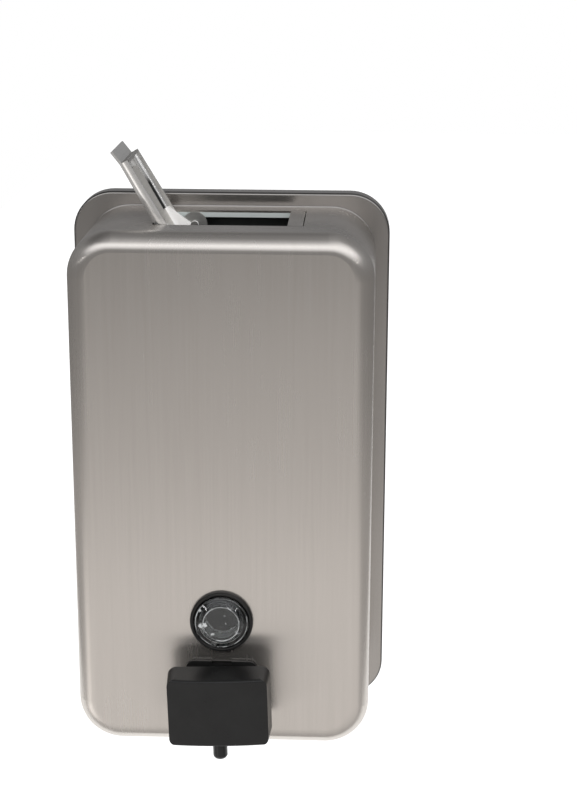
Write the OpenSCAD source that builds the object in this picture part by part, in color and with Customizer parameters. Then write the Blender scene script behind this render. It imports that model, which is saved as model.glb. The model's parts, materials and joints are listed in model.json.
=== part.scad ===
// Wall mounted liquid soap dispenser with an upright tank, a hinged filler lid,
// a refill window and a push-button piston valve.
// Millimetres. X to the right, Y into the wall, Z up.
// Origin: centre of the wall screw pattern, on the wall plane.

/* [Part] */
// Which sub-part to draw, or all of them

/* [Tank shell] */
// Width of the drawn tank
tank_w = 109.6; // [90:0.1:140]
// Height of the drawn tank
tank_h = 196; // [170:0.5:240]
// Distance from the wall to the front face
tank_d = 64.5; // [60:0.5:80]
// Corner radius of the tank seen from the front
tank_r = 16.5; // [12:0.5:24]
// Radius between the front face and the sides
front_r = 7; // [4:0.5:9]
// Sheet thickness of the tank
sheet = 0.8; // [0.6:0.1:1.2]

/* [Wall flange] */
// Reach of the flange beyond each side of the tank
flange_side = 5.5; // [5:0.1:15]
// Reach of the flange beyond the top and bottom of the tank
flange_ends = 5.2; // [5:0.1:15]
// How far the flange face stands off the wall
flange_t = 7.2; // [6.5:0.1:10]
// Corner radius of the flange outline
flange_r = 15.2; // [12:0.1:20]
// Radius of the flange outer edge
flange_edge = 1; // [0.9:0.1:2.5]
// Radius of the turned-up inner edge of the flange
flange_fillet = 1.3; // [1:0.1:2.5]
// Length of the flange collar that the tank slides over
flange_collar = 2; // [1:0.1:4]

/* [Filler opening] */
// Front edge of the opening, measured from the wall
open_front = 47.4; // [40:0.1:52]
// Rear edge of the opening, measured from the wall
open_rear = 16.6; // [12:0.1:22]
// Distance from the right side of the tank to the flush plate at the right end
end_side = 31.6; // [29.5:0.1:38]
// Width of the flush plate at the right end
end_w = 5.5; // [4:0.1:10]
// Dark joint between the flush plate and the tank
end_joint = 0.4; // [0.2:0.1:1]
// Depth of the collar under the opening edge
collar = 1.8; // [1.2:0.1:3]
// Reach of the filler frame in front of and behind the opening
frame_side = 5; // [3:0.1:8]
// Reach of the filler frame past the right end of the opening
frame_end = 8; // [6:0.1:9]
// Length of the foot of the hinge bracket under the filler frame
hinge_foot = 8; // [6:0.1:9]
// Length of the foot of the flush plate under the filler frame
end_foot = 7; // [4:0.1:7.5]

/* [Lid] */
// Distance from the left side of the tank to the hinge axis
hinge_side = 42; // [38:0.1:46]
// Depth of the hinge axis below the top of the tank
hinge_drop = 5.2; // [4.9:0.1:7]
// Radius of the hinge lugs
lug_r = 4.7; // [3.5:0.1:4.8]
// Thickness of the hinge lugs
lug_t = 1; // [0.8:0.1:1.5]
// Radius of the hinge rivets
rivet_r = 0.95; // [0.8:0.05:1.2]
// Radius of the hinge rivet heads
rivet_head = 1.4; // [1.3:0.05:1.8]
// Thickness of the hinge rivet heads
rivet_t = 0.6; // [0.4:0.05:1]
// Reach of the hinge bracket base beyond the hinge axis
base_reach = 8.8; // [7:0.1:10]
// Angle the lid stands open
lid_open = 119.4; // [100:0.1:125]
// Height of the lid face above the hinge axis
lid_rise = 8.2; // [7:0.05:9]
// Length of the lid behind the hinge axis
lid_tail = 8.6; // [6:0.1:9.5]
// Sheet thickness of the lid
lid_t = 0.9; // [0.6:0.1:1]
// Outer radius of the lid side bends
lid_bend = 3; // [2:0.1:3.2]
// Depth of the lid skirts near the hinge
skirt = 4.65; // [4:0.05:6]
// Depth of the lid skirts at the free end
skirt_end = 3.6; // [3.1:0.1:4]
// Length of the lifting tab
tab_len = 5.5; // [3:0.1:8]
// Upward tilt of the lifting tab
tab_tilt = 9; // [0:0.5:20]
// Step from the face of the lid down to the lifting tab
tab_drop = 0.35; // [0:0.05:1.2]
// Distance from the side of the lid to the side of the lifting tab
tab_side = 1; // [0.5:0.1:5]
// Thickness of the lid liner and its ears
liner_t = 0.9; // [0.6:0.1:0.9]
// Distance from the end of the liner leaf to the end of the lid
liner_in = 3.9; // [2:0.1:10]
// Length of the liner leaf behind the hinge axis
liner_back = 4; // [2:0.1:6]
// Sheet around the rivet hole of a liner ear
ear_rim = 0.5; // [0.4:0.1:2]
// Reach of a liner ear beyond the hinge axis
ear_len = 10.8; // [8:0.1:14]
// Height above the hinge axis at which the edge of a liner ear crosses it
ear_waist = 0.25; // [0:0.05:1]
// Height above the hinge axis of the edge of a liner ear at its far end
ear_drop = 5.1; // [3:0.1:5.2]
// Width of the liner leaf beyond its ears
leaf_w = 17; // [15:0.5:23]
// Corner radius at the end of the liner leaf
liner_r = 8; // [3:0.5:10]

/* [Refill window] */
// Height of the window centre above the bottom of the tank
win_up = 50.7; // [48:0.1:120]
// Outside radius of the black sealing ring
win_ring_r = 11.7; // [11:0.1:14]
// Outside radius of the clear window
win_r = 10.2; // [9.4:0.1:10.6]
// Radius of the beads along the rim and around the flat front of the window
win_bead = 0.3; // [0.2:0.05:0.5]
// Radius of the flat front of the window
win_face_r = 7.1; // [5:0.1:8.5]
// How far the window stands out
win_out = 3.1; // [2.4:0.1:5]
// Radius of the window neck that passes through the tank
win_neck_r = 7.9; // [6.8:0.1:8.4]
// Radius of the hollow inside the window
win_bore_r = 6.4; // [3:0.1:6.4]
// Thickness of the rubber under the window rim
win_rubber = 0.6; // [0.4:0.1:1]
// Height of the rubber lip around the window rim
win_lip = 0.5; // [0.3:0.1:1]
// Thickness of the straight part of the window rim
win_rim_t = 1; // [0.6:0.1:1.4]
// Step between the rim and the slope of the window
win_step = 0.5; // [0.3:0.1:1]
// Thickness of the window in front of its hollow
win_wall = 2; // [1:0.1:2.4]
// Length of the window neck inside the tank
win_neck_len = 5.7; // [5:0.1:9]
// Width of the flange of the window nut
wnut_rim = 3.1; // [3:0.1:5]
// Thickness of the flange of the window nut
wnut_rim_t = 1; // [0.8:0.1:1.5]
// Wall of the window nut at its corners
wnut_wall = 2.7; // [2:0.1:2.9]
// Height of the window nut
wnut_h = 4.2; // [3:0.1:5]

/* [Valve] */
// Height of the valve axis above the bottom of the tank
valve_up = 23.1; // [22:0.1:26]
// Width of the valve escutcheon
esc_w = 26.4; // [25:0.1:30]
// Height of the valve escutcheon
esc_h = 24; // [21:0.1:25]
// Thickness of the valve escutcheon
esc_t = 1.2; // [1:0.1:3]
// Corner radius of the valve escutcheon
esc_r = 3; // [2:0.1:5]
// Width of the notch in the top of the escutcheon
notch_w = 7.5; // [5:0.1:10]
// Depth of the notch in the top of the escutcheon
notch_h = 1.3; // [0.8:0.1:1.8]
// Thickness of the rubber behind the escutcheon
esc_rubber = 0.5; // [0.4:0.1:1.5]
// How far the rubber stays inside the escutcheon edge
esc_rubber_in = 0.3; // [0:0.1:1]
// Length of the valve cylinder from the escutcheon face
cyl_len = 32.2; // [32:0.1:36]
// Outside radius of the valve cylinder
cyl_r = 9.3; // [8.8:0.1:9.6]
// Radius of the piston bore
bore_r = 7; // [6:0.1:7.4]
// Depth of the spring recess in the front of the cylinder
recess = 5.4; // [4:0.1:7]
// Radius of the spring recess
recess_r = 6.8; // [6.2:0.1:7.4]
// Thickness of the collar that guides the stem
guide_t = 3.8; // [3:0.1:5]
// Thickness of the valve nut
nut_t = 5; // [3:0.1:6]
// Width across the corners of the valve nut
nut_w = 28; // [26:0.1:29]
// Thickness of the washer under the valve nut
washer_t = 1; // [0.8:0.1:2]
// How far the washer stays inside the corners of the valve nut
washer_in = 1.8; // [1:0.1:3]
// Thickness of the cap on the rear of the cylinder
cap_t = 2; // [1.5:0.1:3]
// Depth of the plug of the cap in the cylinder
cap_plug = 3.5; // [2.5:0.1:4]
// Outside radius of the inlet nipple
nipple_r = 3; // [2.6:0.1:3.4]
// Length of the inlet nipple behind the cylinder
nipple_len = 8; // [6:0.1:9]
// Radius of the inlet passage
inlet_r = 1.9; // [1.2:0.1:2.2]
// Radius of the plunger stem
stem_r = 4; // [3.4:0.1:4.2]
// Radius of the soap passage along the plunger
passage_r = 1.5; // [1:0.1:2]
// Thickness of the piston head
head_t = 2.5; // [2:0.1:3]
// Radial play of the piston head in the bore
head_gap = 0.4; // [0.2:0.05:0.8]
// Shoulder on the stem that carries the cup seal
seal_seat = 0.6; // [0.4:0.1:1]
// Length of the cup seal
seal_len = 3.4; // [2.8:0.1:4]
// Thickness of the lips of the cup seal
lip_t = 0.7; // [0.5:0.05:0.9]
// Thickness of the web of the cup seal
web_t = 1; // [0.7:0.1:1.5]
// Plate thickness of the rubber one-way valves
plate_t = 0.8; // [0.6:0.1:1.2]
// Radius of the inlet valve nozzle at its plate
inlet_nose = 3.2; // [2.6:0.1:4]
// Radius of the outlet valve nozzle at its plate
outlet_nose = 2.3; // [1.8:0.1:2.4]
// Radial play of the inlet valve plate in the bore
plate_gap = 1.8; // [1:0.1:2.4]
// Wire radius of the return spring
wire_r = 0.45; // [0.35:0.05:0.5]
// Number of coils in the return spring
coils = 6; // [5:1:8]
// Bore radius of the pickup elbow
elbow_bore = 2; // [1.5:0.1:2.6]
// Outside radius of the pickup elbow
elbow_r = 4.2; // [3.8:0.1:5]
// Bend radius of the pickup elbow
elbow_bend = 7; // [5.5:0.1:7.5]
// Straight length of the pickup elbow below its bend
elbow_drop = 9; // [4:0.1:11]
// Width of the slot at the end of the pickup elbow
slot_w = 2; // [1:0.1:3]
// Height of the slot at the end of the pickup elbow
slot_h = 2.5; // [1:0.1:4]

/* [Push button] */
// Width of the button at its front
btn_w = 36.5; // [34:0.1:44]
// Height of the button at its front
btn_h = 26.1; // [22:0.1:26.4]
// Distance from the wall to the crown of the button face
btn_front = 86; // [84:0.1:92]
// Depth of the button from front to back
btn_depth = 11.6; // [11.2:0.1:12]
// How much wider the button is at its back, on each side
btn_flare = 0.7; // [0.2:0.1:1.2]
// Angle the button stands turned on its stem
btn_turn = 1.8; // [-4:0.1:4]
// Wall thickness of the button
btn_wall = 2; // [1.5:0.1:2.5]
// Corner radius of the button seen from the front
btn_r = 2.8; // [2.2:0.1:5]
// Edge radius of the button face
btn_edge = 0.9; // [0.5:0.1:1.8]
// Radius of the crowned button face
btn_crown = 134; // [90:1:400]
// Depth of the stem boss inside the button
boss_len = 11; // [9:0.1:11.5]
// Radius of the stem boss inside the button
boss_r = 6.4; // [5.8:0.1:6.6]
// Depth of the stem socket in the boss
socket = 3; // [2:0.1:4]
// Radius of the outlet valve chamber in the boss
chamber_r = 2.6; // [2.4:0.1:3.2]
// Wall between the outlet valve chamber and the button face
chamber_wall = 2.8; // [2.4:0.1:4]
// Distance of the inner end of the spout below the valve axis
spout_seat = 4; // [3:0.1:6]
// Wall of the boss around the spout
spout_wall = 1.3; // [1:0.1:1.8]
// Outside radius of the spout
spout_r = 2.66; // [1.8:0.01:3]
// Distance of the spout behind the button face
spout_in = 5.2; // [4.8:0.1:5.6]
// How far the spout hangs below the button
spout_out = 6.4; // [5:0.1:14]
// Bore radius of the spout
spout_bore = 1.1; // [0.8:0.1:1.4]
// Height of the chamfer at the tip of the spout
tip_h = 0.8; // [0.3:0.1:1.5]
// Width of the chamfer at the tip of the spout
tip_in = 0.5; // [0.2:0.1:0.8]

/* [Wall bracket] */
// Screw spacing across
screw_dx = 50; // [40:1:56]
// Screw spacing up and down
screw_dz = 38; // [30:1:44]
// Radius of the screw holes
screw_r = 2.6; // [2:0.1:3.2]
// Thickness of the bracket and hanger sheet
brk_t = 1.2; // [1:0.1:1.3]
// Width of the wall bracket
brk_w = 80; // [70:1:90]
// Width of the hanger
hang_w = 60; // [40:1:70]
// Sheet beyond the lower screw holes
brk_edge = 9; // [6:0.5:14]
// Sheet beyond the upper screw holes
brk_head = 7; // [6:0.5:12]
// Corner radius of the bracket and of its opening
brk_r = 4; // [2:0.5:6]
// Height of the root of the bracket shelf
brk_step = 6; // [3:0.5:8]
// Sheet kept beside the bracket opening, measured from the screw holes
brk_land = 11; // [7:0.5:14]
// Sheet kept above and below the bracket opening, measured from the screw holes
brk_rib = 3; // [1:0.5:6]
// Height of the bracket hook
hook = 12; // [8:0.5:16]
// Distance between the bracket tongue and the back plate
tongue_gap = 1.7; // [1.5:0.1:2]
// Distance between the hanger tongue and the wall
hang_gap = 1.1; // [0.9:0.1:1.2]
// Height of the hanger foot on the back plate
hang_foot = 14; // [8:0.5:20]
// Free height under the hanger tongue
hang_free = 2; // [1:0.5:4]

/* [Fits] */
// Radial clearance of running and plug fits
fit = 0.05; // [0.02:0.01:0.1]
// Clearance beside the lid and between hinge lug and lid ear
side_gap = 0.15; // [0.1:0.01:0.3]
// Clearance between the filler opening and what sits in it
open_gap = 0.4; // [0.3:0.05:1]
// Clearance between the open lid and the edge it leans on
stop_gap = 0.25; // [0.1:0.05:0.5]
// Clearance between the closed lid and the flush plate
lid_end_gap = 1.2; // [1:0.1:3]
// Clearance around the swing of the lid tail
swing_gap = 1; // [0.6:0.1:3]

/* [Hidden] */
$fn = 64;
eps = 0.01;
top = tank_h / 2;
flange_w = tank_w + 2 * flange_side;
flange_h = tank_h + 2 * flange_ends;
plate_y = flange_t - 2 * sheet;             // rear face of the back plate
collar_r = tank_r - sheet - fit;            // corner radius of the flange collar
tank_y = flange_t + flange_fillet;          // rear edge of the tank

// filler and lid
hinge_x = hinge_side - tank_w / 2;
end_x = tank_w / 2 - end_side;
hinge_z = top - hinge_drop;
lid_yc = -(open_front + open_rear) / 2;     // middle of the filler, front to back
open_w = open_front - open_rear;
// the lid face leans on the left edge of the opening when it stands open
lean = (hinge_drop - lid_rise * cos(lid_open)) / sin(lid_open);
open_x0 = hinge_x + lean * cos(lid_open) - lid_rise * sin(lid_open) - stop_gap;
open_x1 = end_x + end_w + end_joint;
lid_w = open_w - 2 * open_gap;
lid_reach = end_x - hinge_x - lid_end_gap;
liner_len = lid_reach - liner_in;
lug_out = open_w / 2 - open_gap;            // outer face of a hinge lug from the middle
ear_out = lug_out - lug_t - side_gap;       // outer face of a lid ear from the middle
swing = norm([lid_tail, lid_rise]) + swing_gap;
frame_t = sheet;

// window
win_z = -top + win_up;

// valve, as distances from the wall
valve_z = -top + valve_up;
esc_y = tank_d + esc_rubber + esc_t;        // escutcheon face
cyl_y = esc_y - cyl_len;                    // rear end of the cylinder
seat_y = esc_y - recess;                    // spring seat
head_y = seat_y - guide_t;                  // piston head stops here
seal_y = head_y - head_t - seal_len;        // rear end of the seal and plunger

// button
btn_back = btn_front - btn_depth;
btn_sag = btn_crown - sqrt(pow(btn_crown, 2) - pow(btn_w / 2, 2));
boss_y = btn_front - boss_len;              // rear face of the stem boss
stem_y = boss_y + socket;                   // front end of the stem
spout_y = btn_front - spout_in;
btn_swell = 0.02;                           // how far the corner cones stand past the flats
btn_ease = 9;                               // slope that leads the face rounding into the sides
btn_bottom = valve_z - btn_h / 2;
spout_tip = btn_bottom - spout_out;
spout_top = valve_z - spout_seat;

// ---------------------------------------------------------------- helpers

// turns a drawing on the ground plane to face the room; height becomes distance from the wall
module face_on() rotate([90, 0, 0]) children();

// a body drawn along +Z put on an axis that runs out from the wall at height z
module out_axis(z, x = 0) translate([x, 0, z]) face_on() children();

// ring or disc turned about the outward axis, from y0 to y1 measured from the wall
module tube(r1, r0, y0, y1) translate([0, 0, y0]) difference() {
    cylinder(r = r1, h = y1 - y0);
    if (r0 > 0) translate([0, 0, -1]) cylinder(r = r0, h = y1 - y0 + 2);
}

// rounded rectangle built from squares and circles
module rrect(w, h, r) {
    square([w - 2 * r, h], center = true);
    square([w, h - 2 * r], center = true);
    for (x = [-1, 1], y = [-1, 1])
        translate([x * (w / 2 - r), y * (h / 2 - r)]) circle(r = r);
}

// quarter of a ring, q = quadrant 0..3
module arc_band(r1, r0, q) intersection() {
    difference() {
        circle(r = r1);
        circle(r = r0);
    }
    rotate(90 * q) square(r1 + 1);
}

// carries a profile round a rounded rectangle; profile x runs outward from the corner axis
module around(w, h, r) {
    a = w / 2 - r;
    b = h / 2 - r;
    for (k = [[a, b, 0], [-a, b, 90], [-a, -b, 180], [a, -b, 270]])
        translate([k[0], k[1], 0]) rotate(k[2]) rotate_extrude(angle = 90) children();
    for (s = [0, 180]) rotate(s)
        translate([a, b, 0]) rotate([90, 0, 0]) linear_extrude(2 * b) children();
    for (s = [90, 270]) rotate(s)
        translate([b, a, 0]) rotate([90, 0, 0]) linear_extrude(2 * a) children();
}

// block given by its limits
module box(x0, x1, y0, y1, z0, z1) translate([x0, y0, z0]) cube([x1 - x0, y1 - y0, z1 - z0]);

// outline in X and Z given a thickness in Y
module xz_plate(y0, y1) translate([0, y1, 0]) rotate([90, 0, 0]) linear_extrude(y1 - y0) children();

// ---------------------------------------------------------------- tank

module shell_band() {
    translate([tank_r - sheet, tank_y]) square([sheet, tank_d - front_r - tank_y]);
    translate([tank_r - front_r, tank_d - front_r]) arc_band(front_r, front_r - sheet, 0);
    translate([0, tank_d - sheet]) square([tank_r - front_r, sheet]);
}

// turned-up inner edge and collar of the flange, inside the tank
module collar_band() {
    f = flange_fillet;
    translate([collar_r - sheet, flange_t + f]) square([sheet, flange_collar]);
    translate([collar_r + f, flange_t + f]) arc_band(f + sheet, f, 2);
}

module rim_band() {
    translate([flange_r - sheet, 0]) square([sheet, flange_t - flange_edge]);
    translate([flange_r - flange_edge, flange_t - flange_edge])
        arc_band(flange_edge, flange_edge - sheet, 0);
}

module body_shell() {
    difference() {
        face_on() {
            around(tank_w, tank_h, tank_r) shell_band();
            translate([-(tank_w / 2 - tank_r), -(tank_h / 2 - tank_r), tank_d - sheet])
                cube([tank_w - 2 * tank_r, tank_h - 2 * tank_r, sheet]);
        }
        // filler opening
        box(open_x0, open_x1, -open_front, -open_rear, top - 2 * sheet, top + 1);
        // holes for the refill window and the valve
        out_axis(win_z) translate([0, 0, tank_d - 2 * sheet]) cylinder(r = win_neck_r + 2 * fit, h = 3);
        out_axis(valve_z) translate([0, 0, tank_d - 2 * sheet]) cylinder(r = cyl_r + 2 * fit, h = 3);
    }
}

module wall_flange() {
    e = flange_edge;
    d = collar_r + flange_fillet - tank_r;  // start of the turned-up edge outside the tank
    face_on() {
        around(tank_w - 2 * (tank_r - collar_r), tank_h - 2 * (tank_r - collar_r), collar_r)
            collar_band();
        around(flange_w, flange_h, flange_r) rim_band();
        translate([0, 0, flange_t - sheet]) linear_extrude(sheet) difference() {
            rrect(flange_w - 2 * e, flange_h - 2 * e, flange_r - e);
            rrect(tank_w + 2 * d, tank_h + 2 * d, tank_r + d);
        }
    }
}

module back_plate() {
    e = flange_edge + fit;
    face_on() translate([0, 0, plate_y]) linear_extrude(sheet)
        rrect(flange_w - 2 * e, flange_h - 2 * e, flange_r - e);
}

// ---------------------------------------------------------------- wall fixing

brk_top = screw_dz / 2 + brk_head;
tongue_y = plate_y - tongue_gap;            // front face of the bracket tongue

module wall_bracket() {
    z0 = -screw_dz / 2 - brk_edge;
    a = brk_w / 2 - brk_r;
    difference() {
        union() {
            face_on() linear_extrude(brk_t) translate([0, (z0 + brk_top) / 2])
                rrect(brk_w, brk_top - z0, brk_r);
            box(-a, a, -brk_t, 0, brk_top - brk_step, brk_top + brk_t);
            box(-a, a, -tongue_y, 0, brk_top, brk_top + brk_t);
            box(-a, a, -tongue_y, -tongue_y + brk_t, brk_top, brk_top + hook);
        }
        for (x = [-1, 1], z = [-1, 1]) out_axis(z * screw_dz / 2, x * screw_dx / 2)
            translate([0, 0, -1]) cylinder(r = screw_r, h = brk_t + 2);
        // opening that lightens the plate
        face_on() translate([0, 0, -1]) linear_extrude(brk_t + 2)
            rrect(screw_dx - 2 * brk_land, screw_dz - 2 * brk_rib, brk_r);
    }
}

module hanger() {
    a = hang_w / 2;
    z = brk_top + hook;
    box(-a, a, -plate_y, -plate_y + brk_t, z, z + hang_foot);
    box(-a, a, -plate_y, -hang_gap, z, z + brk_t);
    box(-a, a, -hang_gap - brk_t, -hang_gap, z - hook + hang_free, z + brk_t);
}

// ---------------------------------------------------------------- filler

frame_z = top - sheet;                      // underside of the tank top
// inner face of the hinge bracket web, clear of the lid tail and of the frame collar
brk_x = min(hinge_x - swing, open_x0 - frame_t - fit);

module filler_frame() {
    difference() {
        union() {
            box(brk_x - hinge_foot - lug_t, open_x1 + frame_end, -open_front - frame_side,
                -open_rear + frame_side, frame_z - frame_t, frame_z);
            box(open_x0 - frame_t, open_x1, -open_front - frame_t, -open_rear + frame_t,
                frame_z - collar, frame_z);
        }
        box(open_x0, open_x1 + eps, -open_front, -open_rear, frame_z - collar - 1, frame_z + 1);
    }
}

module hinge_bracket() {
    zt = frame_z - frame_t;
    z0 = hinge_z - swing - lug_t;
    yo = lug_out;
    x1 = hinge_x + base_reach;
    box(brk_x - hinge_foot, brk_x, lid_yc - yo, lid_yc + yo, zt - lug_t, zt);
    box(brk_x - lug_t, brk_x, lid_yc - yo, lid_yc + yo, z0, zt);
    box(brk_x - lug_t, x1, lid_yc - yo, lid_yc + yo, z0, z0 + lug_t);
    for (y = [lid_yc - yo, lid_yc + yo - lug_t]) difference() {
        xz_plate(y, y + lug_t) {
            translate([hinge_x, hinge_z]) circle(r = lug_r);
            polygon([[hinge_x - lug_r / 12, z0], [x1, z0],
                [hinge_x + 1.51 * lug_r, hinge_z - 1.45 * lug_r],
                [hinge_x + 0.936 * lug_r, hinge_z - 0.34 * lug_r],
                [hinge_x - lug_r / 12, hinge_z - 0.34 * lug_r]]);
        }
        translate([hinge_x, y - 1, hinge_z]) rotate([-90, 0, 0])
            cylinder(r = rivet_r + fit, h = lug_t + 2);
    }
}

module end_plate() {
    w = open_w / 2 - open_gap;
    x1 = end_x + end_w;
    foot = frame_z - frame_t;
    box(end_x, x1, lid_yc - w, lid_yc + w, top - sheet, top);
    box(end_x, end_x + sheet, lid_yc - w, lid_yc + w, frame_z - collar, top);
    box(x1 - sheet, x1, lid_yc - w, lid_yc + w, foot - sheet, top);
    box(x1 - sheet, x1 + end_foot, lid_yc - w, lid_yc + w, foot - sheet, foot);
}

// ---------------------------------------------------------------- lid

// from the lid's own frame (hinge at the origin, lid lying closed) to where it stands open
module lid_place() translate([hinge_x, lid_yc, hinge_z]) rotate([0, -lid_open, 0]) children();

module lid() lid_place() {
    w = lid_w / 2;
    z1 = lid_rise;
    difference() {
        union() {
            // channel section, run along the lid
            translate([-lid_tail, 0, 0]) rotate([90, 0, 90]) linear_extrude(lid_tail + lid_reach) {
                translate([-w + lid_bend, z1 - lid_t]) square([2 * (w - lid_bend), lid_t]);
                for (m = [0, 1]) mirror([m, 0]) {
                    translate([w - lid_bend, z1 - lid_bend]) arc_band(lid_bend, lid_bend - lid_t, 0);
                    translate([w - lid_t, z1 - skirt]) square([lid_t, skirt - lid_bend]);
                }
            }
            // wall across the free end
            box(lid_reach - lid_t, lid_reach, -w + lid_bend, w - lid_bend, z1 - skirt, z1);
        }
        // skirts run out to a shallow edge at the free end and stop short of the hinge lugs
        xz_plate(-w - 1, w + 1) polygon([[-lid_tail - 1, z1 - skirt - 2],
            [lid_reach + 1, z1 - skirt - 2], [lid_reach + 1, z1 - skirt_end],
            [1.7 * lug_r, z1 - 0.95 * skirt], [1.09 * lug_r, z1 - 0.8 * skirt],
            [0.96 * lug_r, z1 - lid_t],
            [-lid_tail - 1, z1 - lid_t]]);
    }
    // lifting tab
    translate([lid_reach - lid_t / 6, 0, z1 - lid_t - tab_drop]) rotate([0, -tab_tilt, 0])
        box(0, tab_len, -w + tab_side, w - tab_side, 0, lid_t);
}

module lid_liner() lid_place() {
    w = ear_out;
    z1 = lid_rise - lid_t;
    t = liner_t;
    e = rivet_r + ear_rim;
    b = lid_bend - lid_t;                   // the folds nest in those of the lid
    v = w - b;
    r = min(liner_r, leaf_w / 2 - t);
    difference() {
        union() {
            // leaf under the lid, narrower beyond the ears and rounded at its free end
            translate([0, 0, z1 - t]) linear_extrude(t) {
                translate([-liner_back, -v]) square([ear_len + liner_back, 2 * v]);
                translate([0, -leaf_w / 2]) square([liner_len - r, leaf_w]);
                translate([0, -leaf_w / 2 + r]) square([liner_len, leaf_w - 2 * r]);
                for (s = [-1, 1])
                    translate([liner_len - r, s * (leaf_w / 2 - r)]) circle(r = r);
            }
            // folds between the leaf and the ears
            for (m = [0, 1]) mirror([0, m, 0]) translate([-e, v, z1 - b])
                rotate([90, 0, 90]) linear_extrude(ear_len + e) arc_band(b, b - t, 0);
            // ears that turn on the hinge rivets
            for (y = [-w, w - t]) xz_plate(y, y + t) {
                circle(r = e);
                intersection() {
                    polygon([[-e, 0], [0, ear_waist], [ear_len, ear_drop], [ear_len, z1],
                        [-e, z1]]);
                    translate([-e, -e]) square([ear_len + e, z1 - b + e]);
                }
            }
        }
        translate([0, w + 1, 0]) rotate([90, 0, 0]) cylinder(r = rivet_r + fit, h = 2 * w + 2);
    }
}

module hinge_rivets() {
    grip = lug_t + side_gap + liner_t + fit;
    for (m = [0, 1]) translate([hinge_x, lid_yc, hinge_z]) mirror([0, m, 0])
        translate([0, lug_out - grip - rivet_t, 0]) rotate([-90, 0, 0]) {
            difference() {
                cylinder(r = rivet_head, h = rivet_t);
                // groove around the closed end
                translate([0, 0, -1]) difference() {
                    cylinder(r = rivet_head - rivet_t / 4, h = 1 + rivet_t / 2);
                    cylinder(r = rivet_r, h = 2 + rivet_t);
                }
            }
            cylinder(r = rivet_r, h = grip + rivet_t + open_gap / 2);
        }
}

// ---------------------------------------------------------------- refill window

module window_gasket() out_axis(win_z) rotate_extrude() {
    lip = win_ring_r - win_r - fit;
    translate([win_neck_r + 4 * fit, tank_d])
        square([win_ring_r - win_neck_r - 4 * fit, win_rubber]);
    translate([win_r + fit, tank_d]) square([lip, win_rubber + win_lip]);
    translate([win_r + fit + lip / 2, tank_d + win_rubber + win_lip]) intersection() {
        circle(r = lip / 2);
        translate([-lip, 0]) square(2 * lip);
    }
}

module window_lens() out_axis(win_z) difference() {
    rim = tank_d + win_rubber;
    rear = tank_d - sheet - win_neck_len;
    union() {
        tube(win_neck_r, 0, rear, rim + win_rim_t / 2);
        tube(win_r, 0, rim, rim + win_rim_t);
        translate([0, 0, rim + win_rim_t])
            cylinder(r1 = win_r - win_step, r2 = win_face_r, h = win_out - win_rubber - win_rim_t);
        // rounded beads
        rotate_extrude() {
            translate([win_r - win_bead, rim + win_rim_t]) circle(r = win_bead, $fn = 24);
            translate([win_face_r - win_bead / 2, tank_d + win_out]) circle(r = win_bead, $fn = 24);
        }
    }
    translate([0, 0, rear - 1]) cylinder(r = win_bore_r, h = tank_d + win_out - win_wall - rear + 1);
}

module window_nut() out_axis(win_z) difference() {
    y = tank_d - sheet;
    union() {
        tube(win_neck_r + wnut_rim, 0, y - wnut_rim_t, y);
        translate([0, 0, y - wnut_h]) rotate(30)
            cylinder(r = win_neck_r + wnut_wall, h = wnut_h - 0.8 * wnut_rim_t, $fn = 6);
    }
    translate([0, 0, y - wnut_h - 1]) cylinder(r = win_neck_r + fit, h = wnut_h + 2);
}

// ---------------------------------------------------------------- valve

module valve_gasket() out_axis(valve_z) translate([0, 0, tank_d]) linear_extrude(esc_rubber)
    difference() {
        e = esc_rubber_in;
        rrect(esc_w - 2 * e, esc_h - 2 * e, esc_r - e);
        circle(r = cyl_r + fit);
    }

module valve_body() out_axis(valve_z) difference() {
    union() {
        translate([0, 0, esc_y - esc_t]) linear_extrude(esc_t) difference() {
            rrect(esc_w, esc_h, esc_r);
            translate([-notch_w / 2, esc_h / 2 - notch_h]) square([notch_w, notch_h + 1]);
        }
        tube(cyl_r, 0, cyl_y, esc_y - esc_t / 2);
    }
    translate([0, 0, seat_y]) cylinder(r = recess_r, h = recess + 1);
    translate([0, 0, cyl_y - 1]) cylinder(r = stem_r + fit, h = cyl_len + 2);
    translate([0, 0, cyl_y - 1]) cylinder(r = bore_r, h = head_y - cyl_y + 1);
}

module valve_washer() out_axis(valve_z)
    tube(nut_w / 2 - washer_in, cyl_r + fit, tank_d - sheet - washer_t, tank_d - sheet);

module valve_nut() out_axis(valve_z) difference() {
    y = tank_d - sheet - washer_t;
    translate([0, 0, y - nut_t]) cylinder(r = nut_w / 2, h = nut_t, $fn = 6);
    translate([0, 0, y - nut_t - 1]) cylinder(r = cyl_r + fit, h = nut_t + 2);
}

module inlet_cap() out_axis(valve_z) difference() {
    union() {
        tube(cyl_r, 0, cyl_y - cap_t, cyl_y);
        tube(bore_r - fit, 0, cyl_y - cap_t, cyl_y + cap_plug);
        tube(nipple_r, 0, cyl_y - nipple_len, cyl_y - cap_t / 2);
    }
    translate([0, 0, cyl_y - nipple_len - 1]) cylinder(r = inlet_r, h = nipple_len + cap_plug + 2);
}

// rubber one-way valve: a plate with a hollow nozzle slit across its tip
module one_way(plate_r, nose_r) difference() {
    h = 0.72 * nose_r;
    union() {
        tube(plate_r, 0, 0, plate_t);
        translate([0, 0, plate_t]) cylinder(r1 = nose_r, r2 = 0.46 * nose_r, h = h);
    }
    translate([0, 0, -eps]) cylinder(r1 = 0.62 * nose_r, r2 = 0.24 * nose_r, h = plate_t + h / 2);
    translate([-0.48 * nose_r, -eps * 8, plate_t + h / 3]) cube([0.96 * nose_r, eps * 16, h]);
}

module inlet_valve() out_axis(valve_z) translate([0, 0, cyl_y + cap_plug])
    one_way(bore_r - plate_gap, inlet_nose);

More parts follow.
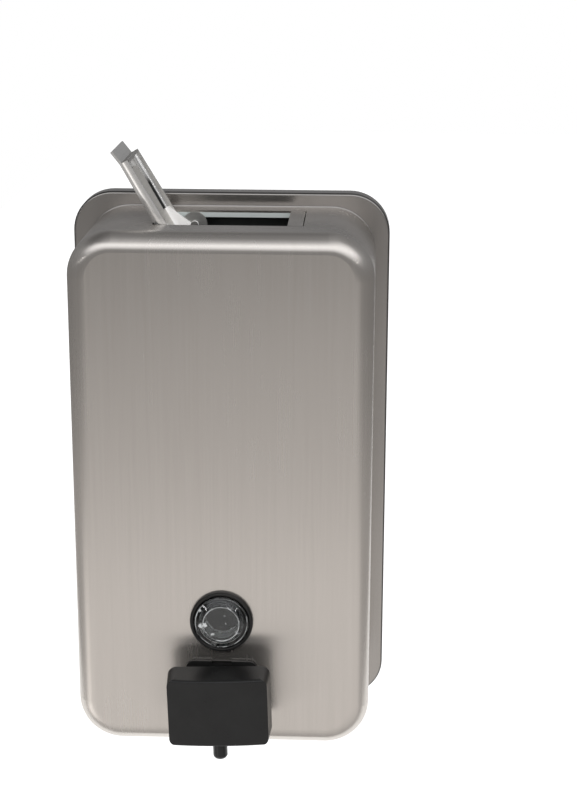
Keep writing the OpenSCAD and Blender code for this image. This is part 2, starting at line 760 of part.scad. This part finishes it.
module pickup_elbow() {
    y0 = cyl_y - nipple_len;                // end of the nipple on the inlet cap
    z0 = valve_z - elbow_bend - elbow_drop; // open end near the tank floor
    difference() {
        union() {
            out_axis(valve_z) tube(elbow_r, nipple_r + fit, y0, cyl_y - cap_t - 1);
            translate([0, -y0, valve_z - elbow_bend]) rotate([90, 0, 90])
                rotate_extrude(angle = 90) translate([elbow_bend, 0]) difference() {
                    circle(r = elbow_r);
                    circle(r = elbow_bore);
                }
            translate([0, -y0 + elbow_bend, z0]) difference() {
                cylinder(r = elbow_r, h = elbow_drop);
                translate([0, 0, -1]) cylinder(r = elbow_bore, h = elbow_drop + 2);
            }
        }
        // slot that keeps the inlet open near the tank floor
        translate([-elbow_r - 1, -y0 + elbow_bend - slot_w / 2, z0 - 1])
            cube([2 * elbow_r + 2, slot_w, slot_h + 1]);
    }
}

// ---------------------------------------------------------------- button and piston

// turns what rides on the stem about the valve axis
module turned() translate([0, 0, valve_z]) rotate([0, -btn_turn, 0]) translate([0, 0, -valve_z])
    children();

// rounded block that widens towards its back
module flared() {
    a = btn_w / 2 - btn_r;
    b = btn_h / 2 - btn_r;
    d = btn_depth - btn_sag;
    g = btn_flare * btn_depth / d;          // growth carried on to the crown of the face
    k = g - btn_flare;
    out_axis(valve_z) translate([0, 0, btn_back]) {
        for (x = [-a, a], y = [-b, b]) translate([x, y])
            cylinder(r1 = btn_r + btn_flare + btn_swell, r2 = btn_r - k + btn_swell, h = btn_depth);
        translate([-a, 0, 0]) rotate([90, 0, 90]) linear_extrude(2 * a)
            polygon([[-b - btn_r - btn_flare, 0], [b + btn_r + btn_flare, 0],
                [b + btn_r - k, btn_depth], [-b - btn_r + k, btn_depth]]);
        translate([0, b, 0]) rotate([90, 0, 0]) linear_extrude(2 * b)
            polygon([[-a - btn_r - btn_flare, 0], [a + btn_r + btn_flare, 0],
                [a + btn_r - k, btn_depth], [-a - btn_r + k, btn_depth]]);
    }
}

// a point on the rounding along the top (s = 1) or bottom (s = -1) of the crowned face
function face_edge(s, t) = [btn_crown - btn_edge * (1 - cos(t)),
    s * (btn_h / 2 - btn_edge * (1 - sin(t)))];

// the same with its face crowned about an upright axis and rounded along the top and bottom
module crowned() intersection() {
    a = asin(0.6 * btn_w / btn_crown);
    d = 1.5 * btn_depth;
    e = btn_edge;
    back = btn_h / 2 + (d - e) * tan(btn_ease);
    flared();
    translate([0, btn_crown - btn_front, valve_z]) rotate(-90 - a)
        rotate_extrude(angle = 2 * a, $fn = 900)
        polygon(concat([[btn_crown - d, -back]],
            [for (t = [90 - btn_ease : -btn_ease : 0]) face_edge(-1, t)],
            [for (t = [0 : btn_ease : 90 - btn_ease]) face_edge(1, t)], [[btn_crown - d, back]]));
}

module push_button() turned() difference() {
    union() {
        difference() {
            crowned();
            out_axis(valve_z) translate([0, 0, btn_back - 1])
                linear_extrude(btn_depth - btn_sag - btn_wall + 1)
                    rrect(btn_w - 2 * btn_wall, btn_h - 2 * btn_wall, btn_r - btn_wall);
        }
        out_axis(valve_z) tube(boss_r, 0, boss_y, btn_front - btn_sag - btn_wall / 2);
        // boss round the spout
        translate([0, -spout_y, btn_bottom + btn_wall / 4])
            cylinder(r = spout_r + spout_wall, h = spout_top - btn_bottom);
    }
    out_axis(valve_z) {
        translate([0, 0, boss_y - 1]) cylinder(r = stem_r + fit, h = 1 + socket + plate_t);
        translate([0, 0, boss_y]) cylinder(r = chamber_r, h = boss_len - chamber_wall);
    }
    translate([0, -spout_y, spout_top - 1]) cylinder(r = spout_bore, h = spout_seat + 1);
    translate([0, -spout_y, btn_bottom - 1])
        cylinder(r = spout_r + fit, h = spout_top - btn_bottom + 1);
}

module spout() turned() translate([0, -spout_y, 0]) difference() {
    union() {
        translate([0, 0, spout_tip + tip_h]) cylinder(r = spout_r, h = spout_top - spout_tip - tip_h);
        translate([0, 0, spout_tip]) cylinder(r1 = spout_r - tip_in, r2 = spout_r, h = tip_h);
    }
    translate([0, 0, spout_tip - 1]) cylinder(r = spout_bore, h = spout_top - spout_tip + 2);
}

module outlet_valve() out_axis(valve_z) translate([0, 0, stem_y])
    one_way(stem_r - 2 * fit, outlet_nose);

module plunger() out_axis(valve_z) difference() {
    union() {
        tube(stem_r, 0, seal_y, stem_y);
        tube(bore_r - head_gap, 0, head_y - head_t, head_y);
        tube(stem_r + seal_seat, 0, seal_y, head_y);
    }
    translate([0, 0, seal_y - 1]) cylinder(r = passage_r, h = stem_y - seal_y + 2);
}

module cup_seal() out_axis(valve_z) rotate_extrude() {
    r0 = stem_r + seal_seat + fit;
    r1 = bore_r - fit;
    y1 = head_y - head_t;
    translate([r0, seal_y + lip_t]) square([lip_t, seal_len - lip_t]);
    translate([r0, y1 - web_t]) square([r1 - r0, web_t]);
    translate([r1 - lip_t, seal_y]) square([lip_t, seal_len]);
}

module return_spring() {
    rc = (recess_r + stem_r) / 2 - 0.1;
    len = boss_y - seat_y;
    pitch = (len - 2 * wire_r) / coils;
    n = 5;
    half = 360 * wire_r / pitch;
    // slice of a round wire that climbs as it turns
    function rim(i, s) = let (a = half * i / n, h = wire_r * sqrt(max(0, 1 - pow(i / n, 2))))
        (rc + s * h) * [cos(a), sin(a)];
    slice = concat([for (i = [-n : n]) rim(i, 1)], [for (i = [n - 1 : -1 : -n + 1]) rim(i, -1)]);
    out_axis(valve_z) translate([0, 0, seat_y])
        linear_extrude(len, twist = -360 * len / pitch, slices = 96, $fn = 10) polygon(slice);
}

// ---------------------------------------------------------------- colours and drawing

steel = [0.66, 0.65, 0.63];
bright = [0.78, 0.78, 0.78];
black = [0.13, 0.13, 0.13];
clear = [0.75, 0.78, 0.8];
milky = [0.86, 0.87, 0.88];

color(steel) body_shell();
color(bright) wall_flange();
color(steel) back_plate();
color(steel) hanger();
color(steel) wall_bracket();
color(steel) filler_frame();
color(steel) hinge_bracket();
color(steel) end_plate();
color(bright) lid();
color(bright) lid_liner();
color(bright) hinge_rivets();
color(clear) window_lens();
color(black) window_gasket();
color(milky) window_nut();
color(black) valve_body();
color(black) valve_gasket();
color(black) valve_washer();
color(milky) valve_nut();
color(milky) inlet_cap();
color(milky) inlet_valve();
color(milky) pickup_elbow();
color(black) push_button();
color(black) spout();
color(milky) outlet_valve();
color(milky) plunger();
color(black) cup_seal();
color(bright) return_spring();
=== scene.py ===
import json
import math
import bpy
import bmesh
from mathutils import Vector, Matrix

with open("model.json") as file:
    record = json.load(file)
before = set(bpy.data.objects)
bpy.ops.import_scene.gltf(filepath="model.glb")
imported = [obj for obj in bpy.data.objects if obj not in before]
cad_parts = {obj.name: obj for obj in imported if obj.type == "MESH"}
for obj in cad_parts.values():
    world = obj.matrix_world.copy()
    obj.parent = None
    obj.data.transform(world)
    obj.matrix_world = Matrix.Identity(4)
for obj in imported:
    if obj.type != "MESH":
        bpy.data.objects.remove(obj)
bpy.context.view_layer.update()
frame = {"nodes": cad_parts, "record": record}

MM = 0.001

# ------------------------------------------------------------------ camera
AZIMUTH, ELEVATION, ROLL = (math.radians(a) for a in (2.56, 16.05, 0.17))
EYE = Vector((52.0, -677.7, 214.9)) * MM
FOCAL_IN_HEIGHTS = 1789.0 / 800.0  # focal length as a share of the picture's height
SENSOR = 36.0

back = Vector((math.sin(AZIMUTH) * math.cos(ELEVATION),
               -math.cos(AZIMUTH) * math.cos(ELEVATION),
               math.sin(ELEVATION)))
level_right = (-back).cross(Vector((0, 0, 1))).normalized()
level_up = level_right.cross(-back)
right = level_right * math.cos(ROLL) + level_up * math.sin(ROLL)
up = level_up * math.cos(ROLL) - level_right * math.sin(ROLL)
lens = bpy.data.cameras.new("camera")
lens.sensor_fit = "AUTO"
lens.sensor_width = SENSOR
lens.lens = FOCAL_IN_HEIGHTS * SENSOR
lens.clip_start = 0.01
lens.clip_end = 50.0
camera = bpy.data.objects.new("camera", lens)
bpy.context.scene.collection.objects.link(camera)
camera.matrix_world = Matrix.Translation(EYE) @ Matrix((right, up, back)).transposed().to_4x4()
bpy.context.scene.camera = camera
bpy.context.scene.view_settings.view_transform = "Standard"


# ------------------------------------------------------------------ node helpers
def put(nt, socket, value):
    """Link an output to an input socket, or write a constant into it."""
    if isinstance(value, bpy.types.NodeSocket):
        nt.links.new(value, socket)
    elif socket.type == "RGBA":
        socket.default_value = (*value, 1)
    else:
        socket.default_value = value


def node(nt, kind, inputs=None, **props):
    """New node: its properties come first, because they decide which sockets it shows."""
    n = nt.nodes.new(kind)
    for name, value in props.items():
        setattr(n, name, value)
    for key, value in (inputs or {}).items():
        put(nt, n.inputs[key], value)
    return n


def new_mat(name):
    mat = bpy.data.materials.new(name)
    mat.use_nodes = True
    return mat, mat.node_tree, mat.node_tree.nodes["Principled BSDF"]


def calc(nt, op, a, b=None):
    values = {0: a} if b is None else {0: a, 1: b}
    return node(nt, "ShaderNodeMath", values, operation=op).outputs[0]


def product(nt, *masks):
    out = masks[0]
    for m in masks[1:]:
        out = calc(nt, "MULTIPLY", out, m)
    return out


def map_range(nt, value, lo, hi, out_lo, out_hi):
    return node(nt, "ShaderNodeMapRange", {"Value": value, "From Min": lo, "From Max": hi,
                                           "To Min": out_lo, "To Max": out_hi}).outputs["Result"]


def above(nt, value, lo, hi):
    """0 below lo, 1 above hi."""
    return map_range(nt, value, lo, hi, 0.0, 1.0)


def below(nt, value, lo, hi):
    """1 below lo, 0 above hi."""
    return map_range(nt, value, lo, hi, 1.0, 0.0)


def mix(nt, fac, a, b, kind="FLOAT"):
    return node(nt, "ShaderNodeMix", {"Factor": fac, "A": a, "B": b},
                data_type=kind).outputs["Result"]


def place(nt):
    """Coordinates in metres, in the shared frame."""
    return node(nt, "ShaderNodeTexCoord").outputs["Object"]


def split(nt, vector):
    return node(nt, "ShaderNodeSeparateXYZ", {0: vector}).outputs


def noise(nt, vec, scale, detail=3.0, rough=0.5):
    return node(nt, "ShaderNodeTexNoise", {"Vector": vec, "Scale": scale, "Detail": detail,
                                           "Roughness": rough}).outputs["Fac"]


def grain_noise(nt, vec, scale, detail, rough):
    """Noise with its own scale along each axis, for a grain longer than it is wide."""
    longer = node(nt, "ShaderNodeMapping", {"Vector": vec, "Scale": scale})
    return noise(nt, longer.outputs["Vector"], 1.0, detail, rough)


def bump(nt, height, strength, distance):
    return node(nt, "ShaderNodeBump", {"Strength": strength, "Distance": distance,
                                       "Height": height}).outputs[0]


# ------------------------------------------------------------------ materials
COARSE = 0.16  # scale of the coarse grain as a share of the fine grain's


def round_the_sides(nt, co):
    """Coordinates whose first axis runs round a box's upright sides, front and flanks alike."""
    axes = split(nt, co)
    across = calc(nt, "ADD", calc(nt, "ABSOLUTE", axes["X"]), axes["Y"])
    return node(nt, "ShaderNodeCombineXYZ", {"X": across, "Y": 0.0003, "Z": axes["Z"]}).outputs[0]


def brushed_steel(name, dark, light, rough, aniso, grain=(1400, 1400, 22), tangent="Z",
                  relief=0.02, metallic=0.92, drawn=False):
    """Sheet steel with a directional grain and faint clouding.

    drawn is for the tank: its grain runs down the sides, and from side to side on top."""
    mat, nt, b = new_mat(name)
    co = place(nt)
    along = round_the_sides(nt, co) if drawn else co
    octaves = 1.0 if drawn else 4.0
    fine = grain_noise(nt, along, grain, octaves, 0.65)
    coarse = grain_noise(nt, along, tuple(g * COARSE for g in grain), 3.0, 0.6)
    cloud = noise(nt, co, 22.0, 3.0, 0.55)
    if drawn:
        facing = split(nt, node(nt, "ShaderNodeTexCoord").outputs["Normal"])
        lying = above(nt, calc(nt, "ABSOLUTE", facing["Z"]), 0.6, 0.85)
        sideways = (grain[2], grain[0], grain[0])
        fine = mix(nt, lying, fine, grain_noise(nt, co, sideways, octaves, 0.65))
        coarse = mix(nt, lying, coarse,
                     grain_noise(nt, co, tuple(g * COARSE for g in sideways), 3.0, 0.6))
    streak = calc(nt, "ADD", calc(nt, "MULTIPLY", fine, 0.6), calc(nt, "MULTIPLY", coarse, 0.4))
    tone = calc(nt, "ADD", calc(nt, "MULTIPLY", streak, 0.75), calc(nt, "MULTIPLY", cloud, 0.25))
    put(nt, b.inputs["Base Color"], mix(nt, above(nt, tone, 0.3, 0.7), dark, light, "RGBA"))
    b.inputs["Metallic"].default_value = metallic
    put(nt, b.inputs["Roughness"],
        calc(nt, "ADD", map_range(nt, streak, 0.3, 0.7, rough - 0.015, rough + 0.015),
             map_range(nt, cloud, 0.3, 0.7, -0.02, 0.02)))
    b.inputs["Anisotropic"].default_value = aniso
    if tangent:
        put(nt, b.inputs["Tangent"],
            node(nt, "ShaderNodeTangent", direction_type="RADIAL", axis=tangent).outputs[0])
    put(nt, b.inputs["Normal"], bump(nt, streak, relief, 0.00006))
    return mat


def moulded(name, dark, light, rough, scale=2600.0, ior=1.5):
    """Moulded plastic or rubber: fine spark-eroded texture and cloudy gloss."""
    mat, nt, b = new_mat(name)
    co = place(nt)
    fine = noise(nt, co, scale, 2.0, 0.6)
    cloud = noise(nt, co, 90.0, 4.0, 0.6)
    put(nt, b.inputs["Base Color"], mix(nt, above(nt, cloud, 0.35, 0.65), dark, light, "RGBA"))
    put(nt, b.inputs["Roughness"],
        calc(nt, "ADD", map_range(nt, cloud, 0.3, 0.7, rough - 0.06, rough + 0.06),
             map_range(nt, fine, 0.3, 0.7, -0.03, 0.03)))
    b.inputs["IOR"].default_value = ior
    put(nt, b.inputs["Normal"], bump(nt, fine, 0.15, 0.00005))
    return mat


def clear_plastic(name):
    """Acrylic with a slightly wavy, handled surface."""
    mat, nt, b = new_mat(name)
    co = place(nt)
    put(nt, b.inputs["Base Color"], (0.8, 0.82, 0.82))
    b.inputs["IOR"].default_value = 1.49
    put(nt, b.inputs["Roughness"],
        map_range(nt, noise(nt, co, 700.0, 4.0, 0.6), 0.35, 0.75, 0.015, 0.09))
    put(nt, b.inputs["Normal"], bump(nt, noise(nt, co, 260.0, 2.0, 0.5), 0.08, 0.0001))
    return mat


ALONG_X, ALONG_Y = (26, 1400, 1400), (1400, 60, 1400)
NO_GRAIN = (900, 900, 900)
satin = brushed_steel("satin_steel", (0.543, 0.508, 0.473), (0.582, 0.547, 0.512), 0.256, 0.83,
                      relief=0.004, drawn=True)
# painted shade: the flange's steel is a darker copy of the tank's, so that its lip and sides read
# dark
flange_steel = brushed_steel("flange_steel", (0.36, 0.34, 0.32), (0.41, 0.388, 0.368), 0.2, 0.6)
sheet = brushed_steel("sheet_steel", (0.42, 0.415, 0.4), (0.52, 0.515, 0.5), 0.36, 0.3,
                      grain=ALONG_X, tangent=None)
plate_steel = brushed_steel("plate_steel", (0.42, 0.415, 0.4), (0.52, 0.515, 0.5), 0.36, 0.3,
                            grain=ALONG_X, tangent=None)
# painted highlight: the lid's steel is lighter than any other steel here, so that its highlights
# run white
lid_steel = brushed_steel("lid_steel", (0.68, 0.67, 0.65), (0.80, 0.785, 0.765), 0.2, 0.3,
                          grain=ALONG_Y, tangent=None, metallic=0.8)
leaf_steel = brushed_steel("leaf_steel", (0.46, 0.44, 0.41), (0.66, 0.64, 0.60), 0.42, 0.0,
                           grain=ALONG_Y, tangent=None, metallic=0.5)
zinc = brushed_steel("zinc_steel", (0.56, 0.61, 0.6), (0.68, 0.72, 0.71), 0.4, 0.0,
                     grain=(60, 1400, 1400), tangent=None, metallic=0.3)
rivet = brushed_steel("rivet_steel", (0.3, 0.29, 0.28), (0.45, 0.44, 0.42), 0.34, 0.0,
                      grain=NO_GRAIN, tangent=None)
spring = brushed_steel("spring_steel", (0.5, 0.5, 0.49), (0.62, 0.62, 0.61), 0.22, 0.0,
                       grain=NO_GRAIN, tangent=None)
black = moulded("black_plastic", (0.006, 0.006, 0.006), (0.010, 0.010, 0.010), 0.34, ior=1.4)
rubber = moulded("black_rubber", (0.005, 0.005, 0.005), (0.010, 0.009, 0.008), 0.38,
                 scale=1500.0, ior=1.4)
natural = moulded("valve_plastic", (0.68, 0.69, 0.67), (0.76, 0.77, 0.75), 0.34)
natural.node_tree.nodes["Principled BSDF"].inputs["Subsurface Weight"].default_value = 0.1
silicone = moulded("soft_rubber", (0.6, 0.6, 0.57), (0.7, 0.7, 0.67), 0.45)
clear = clear_plastic("clear_plastic")

BY_SLOT = {"satin_steel": satin, "sheet_steel": sheet, "lid_steel": lid_steel,
           "rivet_steel": rivet, "spring_steel": spring, "black_plastic": black,
           "black_rubber": rubber, "valve_plastic": natural, "soft_rubber": silicone,
           "clear_plastic": clear}
BY_NODE = {"wall_flange": flange_steel, "lid_liner": leaf_steel, "filler_frame": zinc,
           "back_plate": plate_steel}
for part in frame["record"]["subparts"]:
    slots = frame["nodes"][part["node"]].data.materials
    slots.clear()
    slots.append(BY_NODE.get(part["node"]) or BY_SLOT[part["material_slot"]])


# ------------------------------------------------------------------ wear and stains
def region(mat, mask, color, rougher=0.0, metallic=None):
    """Give one region of a finished material another colour, gloss or metal share."""
    nt = mat.node_tree
    b = nt.nodes["Principled BSDF"]
    before = b.inputs["Base Color"].links[0].from_socket
    put(nt, b.inputs["Base Color"], mix(nt, mask, before, color, "RGBA"))
    before = b.inputs["Roughness"].links[0].from_socket
    put(nt, b.inputs["Roughness"],
        calc(nt, "ADD", before, calc(nt, "MULTIPLY", mask, rougher)))
    if metallic is not None:
        put(nt, b.inputs["Metallic"],
            map_range(nt, mask, 0.0, 1.0, b.inputs["Metallic"].default_value, metallic))


# painted shade: the flange's bends, off its flat lip, are painted near black and rougher, so that
# no bright line shows along them
LIP_Y, COLLAR_Y = -0.0072, -0.0062
nt = flange_steel.node_tree
y = split(nt, place(nt))["Y"]
off_lip = calc(nt, "ABSOLUTE", calc(nt, "SUBTRACT", y, LIP_Y))
region(flange_steel, product(nt, above(nt, off_lip, 0.00003, 0.0002),
                             below(nt, y, COLLAR_Y - 0.0004, COLLAR_Y)),
       (0.10, 0.097, 0.094), 0.25)

# painted shade: the side of the back plate that closes the tank is painted near black, for the
# dark inside of the tank
PLATE_Y = -0.0060
nt = plate_steel.node_tree
region(plate_steel, below(nt, split(nt, place(nt))["Y"], PLATE_Y - 0.0002, PLATE_Y + 0.0002),
       (0.09, 0.095, 0.09), 0.2)

# painted highlight: the ears of the lid's leaf are painted near white and non-metallic
HINGE_X, HINGE_Y, HINGE_Z = -0.0128, -0.032, 0.0928
EAR_SIDE = 0.012  # from the middle of the lid to the ears
nt = leaf_steel.node_tree
aside = calc(nt, "ABSOLUTE", calc(nt, "SUBTRACT", split(nt, place(nt))["Y"], HINGE_Y))
region(leaf_steel, above(nt, aside, EAR_SIDE - 0.0002, EAR_SIDE + 0.0002),
       (1.0, 0.985, 0.97), 0.0, 0.0)

# painted shade in the lid's folds, near black along the rear fold, set in the lid's own axes:
# along it from the hinge, and its height
LID_SIN, LID_COS = 0.491, 0.871  # the open lid's lean
nt = lid_steel.node_tree
at = split(nt, place(nt))
x, z = calc(nt, "SUBTRACT", at["X"], HINGE_X), calc(nt, "SUBTRACT", at["Z"], HINGE_Z)
along = calc(nt, "ADD", calc(nt, "MULTIPLY", x, -LID_SIN), calc(nt, "MULTIPLY", z, LID_COS))
height = calc(nt, "SUBTRACT", calc(nt, "MULTIPLY", x, -LID_COS), calc(nt, "MULTIPLY", z, LID_SIN))
under_roof = below(nt, height, 0.00745, 0.0076)
rear_fold_shade = product(nt, under_roof, above(nt, height, 0.0050, 0.0058),
                    above(nt, at["Y"], -0.0242, -0.0236), below(nt, at["Y"], -0.0183, -0.0181),
                    below(nt, along, 0.022, 0.027))
region(lid_steel, rear_fold_shade, (0.012, 0.012, 0.011), 0.3, 0.2)
# painted shade, lighter and brown, in the fold at the lid's end wall
end_fold_shade = product(nt, under_roof, above(nt, height, 0.0035, 0.0055),
                   above(nt, at["Y"], -0.0458, -0.0450), below(nt, at["Y"], -0.0190, -0.0185),
                   above(nt, along, 0.0322, 0.0338), below(nt, along, 0.0347, 0.0350))
region(lid_steel, end_fold_shade, (0.14, 0.12, 0.10), 0.2)

# painted highlights: two thin rings on the window's moulded steps and a few scattered marks lose
# their transmission, so they show pale like glints
WINDOW_Z = -0.0473
GLINT_RINGS = ((0.00665, 0.00016), (0.0096, 0.00012))  # radius and half width
nt = clear.node_tree
co = place(nt)
at = split(nt, co)
radius = calc(nt, "SQRT",
              calc(nt, "ADD", calc(nt, "POWER", at["X"], 2.0),
                   calc(nt, "POWER", calc(nt, "SUBTRACT", at["Z"], WINDOW_Z), 2.0)))
ring_glints = [below(nt, calc(nt, "ABSOLUTE", calc(nt, "SUBTRACT", radius, r)), half * 0.5, half * 1.5)
         for r, half in GLINT_RINGS]
patchy = map_range(nt, noise(nt, co, 130.0, 2.0, 0.5), 0.42, 0.6, 0.12, 0.95)
glint_marks = map_range(nt, noise(nt, co, 300.0, 3.0, 0.6), 0.62, 0.70, 0.0, 0.7)
painted_glints = calc(nt, "MAXIMUM", calc(nt, "MULTIPLY", calc(nt, "MAXIMUM", *ring_glints), patchy), glint_marks)
put(nt, nt.nodes["Principled BSDF"].inputs["Transmission Weight"],
    calc(nt, "SUBTRACT", 1.0, painted_glints))


# ------------------------------------------------------------------ studio
RAYS = ("camera", "diffuse", "glossy", "transmission", "shadow")


def stage(name, mesh, mat, seen_by=RAYS):
    ob = bpy.data.objects.new(name, mesh)
    bpy.context.scene.collection.objects.link(ob)
    mesh.materials.append(mat)
    for ray in RAYS:
        setattr(ob, "visible_" + ray, ray in seen_by)
    return ob


def background_rays(nt):
    """1 for the rays that see the background: camera, mirror and see-through rays."""
    ray = node(nt, "ShaderNodeLightPath").outputs
    return calc(nt, "MAXIMUM", calc(nt, "MAXIMUM", ray["Is Camera Ray"], ray["Is Glossy Ray"]),
                ray["Is Transmission Ray"])


# pale floor: a plain diffuse one, lifted to white where it is seen directly or mirrored
FLOOR_Z, FLOOR_SIDE, FLOOR_FRONT, FLOOR_BACK = -0.34, 0.6, -0.1, 3.5
FLOOR_LIFT = 0.5
floor_mat, nt, b = new_mat("floor_white")
put(nt, b.inputs["Base Color"], (0.9, 0.9, 0.9))
b.inputs["Roughness"].default_value = 0.9
put(nt, b.inputs["Emission Color"], (1, 1, 1))
put(nt, b.inputs["Emission Strength"], calc(nt, "MULTIPLY", background_rays(nt), FLOOR_LIFT))
mesh = bpy.data.meshes.new("floor")
corners = [(-FLOOR_SIDE, FLOOR_FRONT, FLOOR_Z), (FLOOR_SIDE, FLOOR_FRONT, FLOOR_Z),
           (FLOOR_SIDE, FLOOR_BACK, FLOOR_Z), (-FLOOR_SIDE, FLOOR_BACK, FLOOR_Z)]
mesh.from_pydata(corners, [], [(0, 1, 2, 3)])
stage("floor", mesh, floor_mat)


# light tent round the object, seen by glossy rays only: it stands for a dim room with a broad
# bright band ahead, so that the metal has something to mirror
TENT_RADIUS = 6.0
TENT_TOP = 2.0  # level of a colour ramp's white
# height of the direction, from -1 straight down to 1 straight up, and the level there
TENT_AHEAD = [(-1.0, 0.5), (-0.6, 0.8), (-0.43, 0.90), (-0.382, 0.97), (-0.36, 0.90),
              (-0.34, 0.80), (-0.32, 0.66), (-0.295, 0.56), (-0.25, 0.69), (-0.22, 0.60),
              (-0.2, 0.42), (-0.12, 0.28), (0.06, 0.27), (0.17, 0.42), (0.28, 0.95),
              (0.42, 1.5), (0.58, 1.72), (0.74, 1.5), (0.87, 1.05), (0.95, 0.66), (1.0, 0.42)]
TENT_ROUND = [(-1.0, 0.4), (-0.5, 0.36), (-0.40, 0.46), (-0.34, 0.5), (-0.29, 0.33),
              (-0.22, 0.22), (0.0, 0.23), (0.5, 0.25), (0.85, 0.24), (0.96, 0.34), (1.0, 0.42)]
LOW_LEFT = (-0.60, -0.56, -0.57)  # direction of a bright spot that lights the tank's corner
WARM, COOL = (1.02, 0.995, 0.975), (0.985, 1.0, 1.03)


def tent_level(nt, height, stops):
    n = node(nt, "ShaderNodeValToRGB", {"Fac": map_range(nt, height, -1, 1, 0, 1)})
    elements = n.color_ramp.elements
    for k, (h, level) in enumerate(stops):
        e = elements[k] if k < 2 else elements.new(1.0)
        e.position = (h + 1) / 2
        e.color = (level / TENT_TOP,) * 3 + (1,)
    return calc(nt, "MULTIPLY", n.outputs["Color"], TENT_TOP)


tent_mat, nt, b = new_mat("light_tent")
unit = node(nt, "ShaderNodeVectorMath", {0: place(nt)}, operation="NORMALIZE").outputs[0]
to = split(nt, unit)
flat = calc(nt, "SQRT", calc(nt, "SUBTRACT", 1.0, calc(nt, "POWER", to["Z"], 2.0)))
lean = calc(nt, "MULTIPLY", to["X"], map_range(nt, to["Z"], -0.34, -0.27, -0.08, 0.14))
facing = calc(nt, "DIVIDE", calc(nt, "SUBTRACT", lean, to["Y"]), flat)
wider = calc(nt, "ADD", map_range(nt, to["Z"], -0.38, -0.26, 0.5, 0.0),
             map_range(nt, to["Z"], 0.1, 0.5, 0.0, 0.4))
ahead = above(nt, calc(nt, "ADD", facing, wider), 0.86, 0.999)
level = calc(nt, "ADD", calc(nt, "MULTIPLY", tent_level(nt, to["Z"], TENT_AHEAD), ahead),
             calc(nt, "MULTIPLY", tent_level(nt, to["Z"], TENT_ROUND),
                  calc(nt, "SUBTRACT", 1.0, ahead)))
overhead_left = product(nt, above(nt, to["Z"], 0.6, 0.8),
                        map_range(nt, to["X"], -0.28, 0.10, 0.85, 0.0))
level = calc(nt, "MULTIPLY", level, calc(nt, "SUBTRACT", 1.0, overhead_left))
spot = node(nt, "ShaderNodeVectorMath", {0: unit, 1: LOW_LEFT}, operation="DOT_PRODUCT")
level = calc(nt, "ADD", level, map_range(nt, spot.outputs["Value"], 0.972, 0.990, 0.0, 1.1))
tint = mix(nt, above(nt, to["Z"], -0.3, 0.3), WARM, COOL, "RGBA")
glow = node(nt, "ShaderNodeEmission", {"Color": tint, "Strength": level})
nt.links.new(glow.outputs[0], nt.nodes["Material Output"].inputs["Surface"])
nt.nodes.remove(b)
mesh = bpy.data.meshes.new("light_tent")
bm = bmesh.new()
bmesh.ops.create_icosphere(bm, subdivisions=5, radius=TENT_RADIUS)
bm.to_mesh(mesh)
bm.free()
stage("light_tent", mesh, tent_mat, seen_by=("glossy",))


def area(name, spot, target, width, height, radiance, mirrored=True):
    light = bpy.data.lights.new(name, "AREA")
    light.shape = "RECTANGLE"
    light.size, light.size_y = width, height
    light.energy = radiance * math.pi * width * height
    ob = bpy.data.objects.new(name, light)
    bpy.context.scene.collection.objects.link(ob)
    ob.location = spot
    ob.rotation_euler = (Vector(target) - Vector(spot)).to_track_quat("-Z", "Y").to_euler()
    ob.visible_glossy = mirrored


WINDOW_SPOT = (0, -0.06, -0.05)
area("key_softbox", (0.1, -1.5, 1.25), (0, 0, 0), 2.4, 0.45, 6.0, mirrored=False)
area("glint_left", (-1.43, -1.32, 0.45), WINDOW_SPOT, 0.09, 0.09, 14.0)
area("glint_right", (1.14, -1.5, 0.5), WINDOW_SPOT, 0.07, 0.07, 11.0)
area("fill_left", (-2.0, -0.6, 0.5), (0, 0, 0), 0.8, 1.2, 1.6, mirrored=False)

AMBIENT = 0.7
world = bpy.data.worlds.new("world")
bpy.context.scene.world = world
world.use_nodes = True
nt = world.node_tree
sky = nt.nodes["Background"]
put(nt, sky.inputs["Color"], (1, 1, 1))
put(nt, sky.inputs["Strength"], map_range(nt, background_rays(nt), 0.0, 1.0, AMBIENT, 1.0))

bpy.context.view_layer.update()
